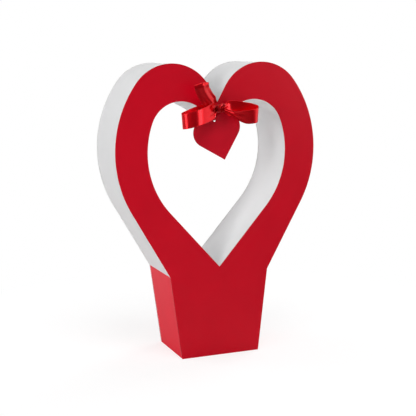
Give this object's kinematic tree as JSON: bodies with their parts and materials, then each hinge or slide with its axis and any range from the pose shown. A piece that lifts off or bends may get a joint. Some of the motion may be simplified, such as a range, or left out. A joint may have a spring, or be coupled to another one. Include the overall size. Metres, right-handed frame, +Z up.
{
  "type": "heart gift box",
  "caption": "Free-standing card box shaped as a heart on a tapered base, with a heart-shaped window, a ribbon bow and a hanging heart tag.",
  "frame": {"origin": "middle of the underside of the base", "axes": "+X to the right and +Z up, seen from the front; +Y from the front face to the back face"},
  "size_m": [0.286, 0.1242, 0.4],
  "materials": {
    "red_card": "smooth matt red card",
    "white_card": "smooth matt white card",
    "satin_ribbon": "glossy satin",
    "tag_card": "smooth matt red card",
    "thread": "fine twisted thread",
    "wire": "thin bright wire"
  },
  "bodies": {
    "box": {"front_face": "red_card", "back_face": "red_card", "left_outer_strip": "white_card", "right_outer_strip": "white_card", "left_window_strip": "white_card", "right_window_strip": "white_card", "left_base_side": "red_card", "right_base_side": "red_card", "base_floor": "red_card", "left_bow_loop": "satin_ribbon", "right_bow_loop": "satin_ribbon", "bow_tail": "satin_ribbon", "bow_knot": "satin_ribbon", "bow_wire": "wire"},
    "thread": {"tag_thread": "thread"},
    "tag": {"heart_tag": "tag_card"}
  },
  "joints": [
    {"name": "thread_swing", "type": "hinge", "parent": "box", "child": "thread", "pos_m": [-0.00585, -0.0467, 0.3398], "axis": [0, 1, 0], "range_deg": [-10, 10]},
    {"name": "tag_swing", "type": "hinge", "parent": "thread", "child": "tag", "pos_m": [-0.00585, -0.04805, 0.324], "axis": [0, 1, 0], "range_deg": [-15, 40]}
  ]
}
